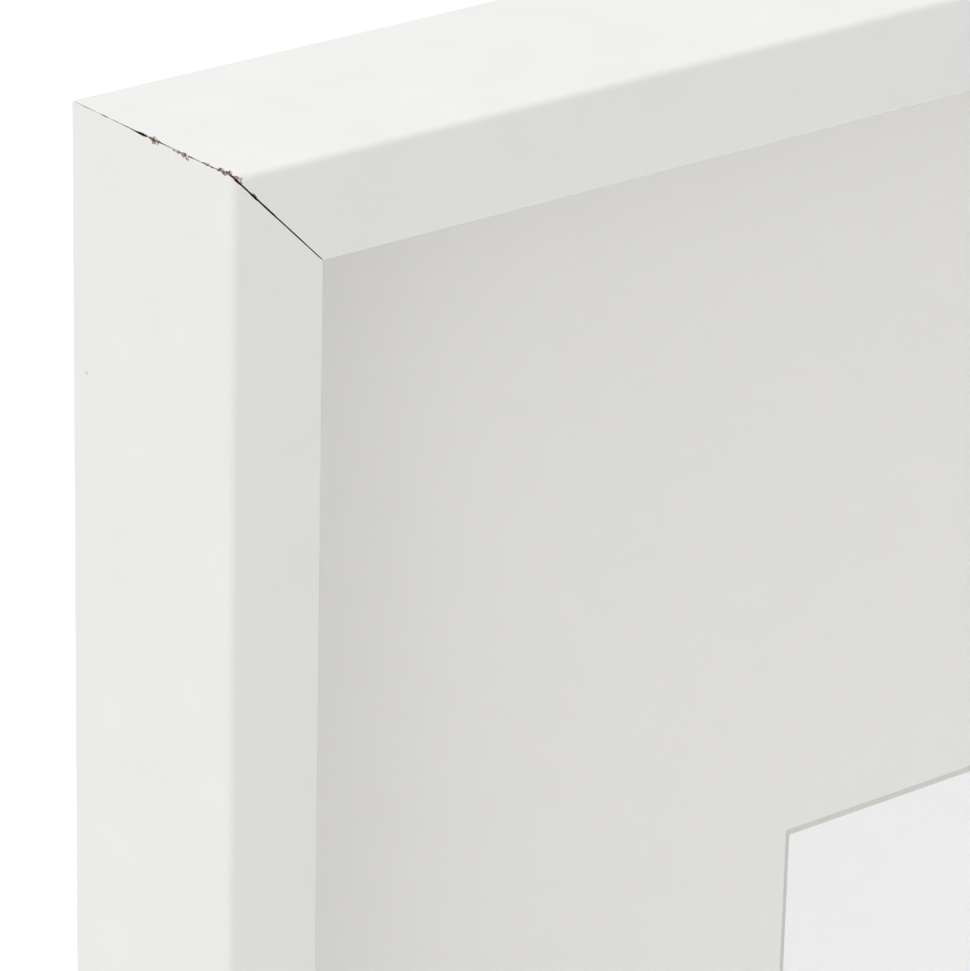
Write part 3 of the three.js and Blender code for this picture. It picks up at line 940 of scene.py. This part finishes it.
class SHADOWBOX_OT_hangers(bpy.types.Operator):
    """Make the two D-rings with their straps and screws"""

    bl_idname = "shadowbox.hangers"
    bl_label = "Hangers"

    def execute(self, context):
        sizes = context.scene.shadow_box_sizes
        zinc = steel("bright_zinc", "#d3d6da", "#b4b8be", 0.26, 0.4 * MM)
        for hand in ("left", "right"):
            self.make_strap(hand, zinc)
            self.make_ring(hand, zinc, sizes.ring_wire / 2)
            self.make_screw(hand, zinc)
        return {"FINISHED"}

    def make_strap(self, hand, finish):
        """A strip of sheet steel, rolled round the ring at its top."""
        low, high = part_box(f"hanger_strap_{hand}")
        axis_y = (low.y + high.y) / 2
        outer = (high.y - low.y) / 2
        axis_z = high.z - outer
        bm = bmesh.new()
        rear = low.y + STRAP_GAUGE
        corners = [(low.x, low.y), (high.x, low.y), (high.x, rear), (low.x, rear)]
        plate = outline_face(bm, [(x, y, low.z) for x, y in corners])
        cap = grow(bm, plate, (0, 0, axis_z - low.z))
        barrel = list(cap.edges)
        bmesh.ops.delete(bm, geom=[cap], context="FACES_ONLY")
        last = spin_loop(bm, barrel, (0, axis_y, axis_z), (1, 0, 0), -math.radians(STRAP_ROLL), 40)
        bmesh.ops.contextual_create(bm, geom=last)
        bmesh.ops.remove_doubles(bm, verts=bm.verts, dist=0.1 * CLOSE)
        face_out(bm)
        at_foot = [e for e in bm.edges if all(abs(v.co.z - low.z) < CLOSE for v in e.verts)]
        lower = [e for e in at_foot if abs(e.verts[0].co.y - e.verts[1].co.y) > 0.01 * MM]
        bevel_edges(bm, lower, STRAP_CORNER, 8)
        bevel_edges(bm, sharp_edges(bm, 50), 0.1 * MM, 2)
        piece = finished(f"hanger_plate_{hand}", bm, [finish])
        stands_for(piece, "frame", "zinc_steel", f"hanger_strap_{hand}")

    def make_ring(self, hand, finish, wire):
        """A wire bent to a D; wire is half its thickness."""
        low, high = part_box(f"hanger_ring_{hand}")
        x, y, top = (low.x + high.x) / 2, (low.y + high.y) / 2, high.z - wire
        half = (high.x - low.x) / 2 - wire
        corner = RING_CORNER
        leg = top - (low.z + wire) - half
        bm = bmesh.new()
        place = Matrix.Translation((x, y, top)) @ Matrix.Rotation(math.pi / 2, 4, "Y")
        bmesh.ops.create_circle(bm, segments=16, radius=wire, matrix=place)
        loop = bm.edges[:]
        loop = draw_loop(bm, loop, (half - corner, 0, 0))
        loop = spin_loop(bm, loop, (x + half - corner, y, top - corner), (0, 1, 0), math.pi / 2, 7)
        loop = draw_loop(bm, loop, (0, 0, corner - leg))
        loop = spin_loop(bm, loop, (x, y, top - leg), (0, 1, 0), math.pi, 36)
        loop = draw_loop(bm, loop, (0, 0, leg - corner))
        loop = spin_loop(bm, loop, (x - half + corner, y, top - corner), (0, 1, 0), math.pi / 2, 7)
        draw_loop(bm, loop, (half - corner, 0, 0))
        bmesh.ops.remove_doubles(bm, verts=bm.verts, dist=CLOSE)
        face_out(bm)
        piece = finished(f"d_ring_{hand}", bm, [finish])
        stands_for(piece, f"ring_{hand}", "zinc_steel", f"hanger_ring_{hand}")

    def make_screw(self, hand, finish):
        """A pan-head screw, spun from half its section, with a cross recess."""
        low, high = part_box(f"hanger_screw_{hand}")
        x, z = (low.x + high.x) / 2, (low.z + high.z) / 2
        radius = (high.z - low.z) / 2
        seat, shank = high.y - SCREW_HEAD, SCREW_SHANK
        # Half the screw's section, from its point to the crown of its pan head.
        outline = [
            (0, low.y), (shank * 0.35, low.y + 1.2 * MM), (shank, low.y + 3.4 * MM), (shank, seat),
            (radius * 0.94, seat), (radius, seat + 0.14 * MM), (radius * 0.985, seat + 0.55 * MM),
            (radius * 0.9, seat + 0.95 * MM), (radius * 0.72, seat + 1.3 * MM),
            (radius * 0.42, seat + 1.52 * MM), (0, high.y),
        ]
        bm = bmesh.new()
        verts = [bm.verts.new((x + r, y, z)) for r, y in outline]
        edges = [bm.edges.new(pair) for pair in zip(verts, verts[1:])]
        bmesh.ops.spin(
            bm, geom=verts + edges, cent=(x, 0, z), axis=(0, 1, 0), angle=2 * math.pi, steps=40,
            dvec=(0, 0, 0), use_merge=True, use_duplicate=False,
        )
        bmesh.ops.remove_doubles(bm, verts=bm.verts, dist=CLOSE)
        face_out(bm)
        piece = finished(f"pan_screw_{hand}", bm, [finish], smooth_below=50)
        # The cross recess: two tapered blades, turned as the screw was left.
        cutter = bmesh.new()
        for turn in (SCREW_TURN, SCREW_TURN + math.pi / 2):
            made = cut_box(cutter, (-1.55 * MM, -0.95 * MM, -0.38 * MM), (1.55 * MM, 0.6 * MM, 0.38 * MM))
            for v in made:
                if v.co.y < 0:
                    v.co.x *= 0.35
                    v.co.z *= 0.6
            bmesh.ops.rotate(cutter, verts=made, cent=(0, 0, 0), matrix=Matrix.Rotation(turn, 3, "Y"))
            bmesh.ops.translate(cutter, verts=made, vec=(x, high.y, z))
        carve(piece, cutter)
        piece.data.set_sharp_from_angle(angle=math.radians(35))
        stands_for(piece, "frame", "zinc_steel", f"hanger_screw_{hand}")


class SHADOWBOX_OT_bumpers(bpy.types.Operator):
    """Make the two felt bumpers"""

    bl_idname = "shadowbox.bumpers"
    bl_label = "Bumpers"

    def execute(self, context):
        finish = felt(context.scene.shadow_box_colours)
        for number, hand in enumerate(("left", "right")):
            low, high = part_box(f"wall_bumper_{hand}")
            x, z, radius = (low.x + high.x) / 2, (low.z + high.z) / 2, (high.z - low.z) / 2
            bm = bmesh.new()
            place = Matrix.Translation((x, low.y, z)) @ Matrix.Rotation(-math.pi / 2, 4, "X")
            bmesh.ops.create_circle(bm, cap_ends=True, segments=48, radius=radius, matrix=place)
            cap = bm.faces[:][0]
            for _ in range(6):
                cap = grow(bm, cap, (0, (high.y - low.y) / 6, 0))
            for _ in range(5):
                bmesh.ops.inset_region(bm, faces=[cap], thickness=radius * 0.17, use_even_offset=True)
            bmesh.ops.poke(bm, faces=[cap])
            face_out(bm)
            # A soft rim, and fibres standing a little unevenly.
            for vert in bm.verts:
                rise = (vert.co.y - low.y) / (high.y - low.y)
                away = (Vector((vert.co.x - x, 0, vert.co.z - z)).length) / radius
                rough = noise.noise(vert.co * 2600 + Vector((number * 7.3, 0, 0)))
                pull = 1 - 0.10 * rise**4 + 0.022 * rough * rise
                vert.co.x = x + (vert.co.x - x) * pull
                vert.co.z = z + (vert.co.z - z) * pull
                vert.co.y += (0.09 * rough * rise - 0.35 * max(0, rise - 0.7) * away**6) * MM
            piece = finished(f"felt_bumper_{hand}", bm, [finish], smooth_below=60)
            stands_for(piece, "frame", "felt", f"wall_bumper_{hand}")
        return {"FINISHED"}


# ---- The studio ----

FLOOR_HALF_WIDTH = 60
# The ground behind the floor, just past white, as the camera sees it.
SEEN_WHITE = 1.1


class SHADOWBOX_OT_studio(bpy.types.Operator):
    """Make the floor, the lights and the camera"""

    bl_idname = "shadowbox.studio"
    bl_label = "Studio"

    def execute(self, context):
        studio = context.scene.shadow_box_studio
        context.scene.view_settings.view_transform = "Standard"
        context.scene.view_settings.look = "None"
        self.make_floor(context.scene.shadow_box_colours)
        self.light_room(context.scene, studio)
        # Each lamp: the direction it stands in, its width in degrees and its strength.
        self.add_sun("key", (-1.43, -1.0, 0.75), 14, studio.key)
        self.add_sun("top", (-0.1, 0.0, 1.0), 24, studio.top)
        self.add_sun("side", (-1.0, 0.15, 0.3), 24, studio.side)
        self.place_camera(context.scene, studio)
        return {"FINISHED"}

    def make_floor(self, colours):
        """A pale floor that reaches past the edge of every view."""
        bm = bmesh.new()
        bmesh.ops.create_grid(bm, x_segments=1, y_segments=1, size=FLOOR_HALF_WIDTH)
        floor = finished("floor", bm, [card("pale_floor", colours.floor, 2 * MM, 0.9)])

    def light_room(self, scene, studio):
        """Even light from all round, with a plain white ground behind the box."""
        world = bpy.data.worlds.new("studio")
        world.use_nodes = True
        tree = world.node_tree
        tree.nodes.clear()
        seen = add(tree, "ShaderNodeLightPath").outputs["Is Camera Ray"]
        strength = add(tree, "ShaderNodeMix", {0: seen, 2: studio.sky, 3: SEEN_WHITE})
        light = add(
            tree, "ShaderNodeBackground", {"Color": rgba(linear("#ffffff")), "Strength": strength.outputs[0]}
        )
        add(tree, "ShaderNodeOutputWorld", {"Surface": light.outputs[0]})
        scene.world = world

    def add_sun(self, name, direction, spread, strength):
        """A soft lamp far away, spread degrees wide."""
        lamp = bpy.data.lights.new(name, "SUN")
        lamp.energy = strength
        lamp.angle = math.radians(spread)
        holder = bpy.data.objects.new(name, lamp)
        holder.rotation_mode = "QUATERNION"
        holder.rotation_quaternion = Vector(direction).to_track_quat("Z", "Y")
        bpy.context.scene.collection.objects.link(holder)

    def place_camera(self, scene, studio):
        """A camera that looks at a point near the top left corner."""
        az, el, roll = studio.azimuth, studio.elevation, studio.roll
        back = Vector((math.sin(az) * math.cos(el), -math.cos(az) * math.cos(el), math.sin(el)))
        right = Vector((math.cos(az), math.sin(az), 0))
        up = back.cross(right)
        across = math.cos(roll) * right + math.sin(roll) * up
        upwards = math.cos(roll) * up - math.sin(roll) * right
        aim = Vector((-WIDTH / 2 + studio.aim_right, FRONT, HEIGHT - studio.aim_down))
        camera = bpy.data.objects.new("camera", bpy.data.cameras.new("camera"))
        camera.data.lens = studio.lens
        camera.data.sensor_width = 36
        camera.data.clip_start, camera.data.clip_end = 0.05, 100
        turned = Matrix((across, upwards, back)).transposed().to_4x4()
        camera.matrix_world = Matrix.Translation(aim + back * studio.distance) @ turned
        scene.collection.objects.link(camera)
        scene.camera = camera


# ---- The add-on ----

OPERATORS = (
    SHADOWBOX_OT_studio,
    SHADOWBOX_OT_rails,
    SHADOWBOX_OT_nails,
    SHADOWBOX_OT_glazing,
    SHADOWBOX_OT_spacers,
    SHADOWBOX_OT_mat,
    SHADOWBOX_OT_display,
    SHADOWBOX_OT_back,
    SHADOWBOX_OT_tabs,
    SHADOWBOX_OT_hangers,
    SHADOWBOX_OT_bumpers,
)


class SHADOWBOX_PT_panel(bpy.types.Panel):
    """The box's pieces in the 3D view's sidebar"""

    bl_label = "Shadow box"
    bl_idname = "SHADOWBOX_PT_panel"
    bl_space_type = "VIEW_3D"
    bl_region_type = "UI"
    bl_category = "Shadow box"

    def draw(self, context):
        for operator in OPERATORS:
            self.layout.operator(operator.bl_idname)
        for group in ("shadow_box_sizes", "shadow_box_colours", "shadow_box_studio"):
            settings = getattr(context.scene, group)
            for name in settings.__annotations__:
                self.layout.prop(settings, name)


CLASSES = (ShadowBoxSizes, ShadowBoxColours, ShadowBoxStudio, *OPERATORS, SHADOWBOX_PT_panel)


def register():
    for item in CLASSES:
        bpy.utils.register_class(item)
    bpy.types.Scene.shadow_box_sizes = bpy.props.PointerProperty(type=ShadowBoxSizes)
    bpy.types.Scene.shadow_box_colours = bpy.props.PointerProperty(type=ShadowBoxColours)
    bpy.types.Scene.shadow_box_studio = bpy.props.PointerProperty(type=ShadowBoxStudio)


def unregister():
    del bpy.types.Scene.shadow_box_studio
    del bpy.types.Scene.shadow_box_colours
    del bpy.types.Scene.shadow_box_sizes
    for item in reversed(CLASSES):
        bpy.utils.unregister_class(item)


def main():
    register()
    for operator in OPERATORS:
        call = getattr(bpy.ops.shadowbox, operator.bl_idname.split(".")[1])
        call()


if __name__ == "__main__":
    main()
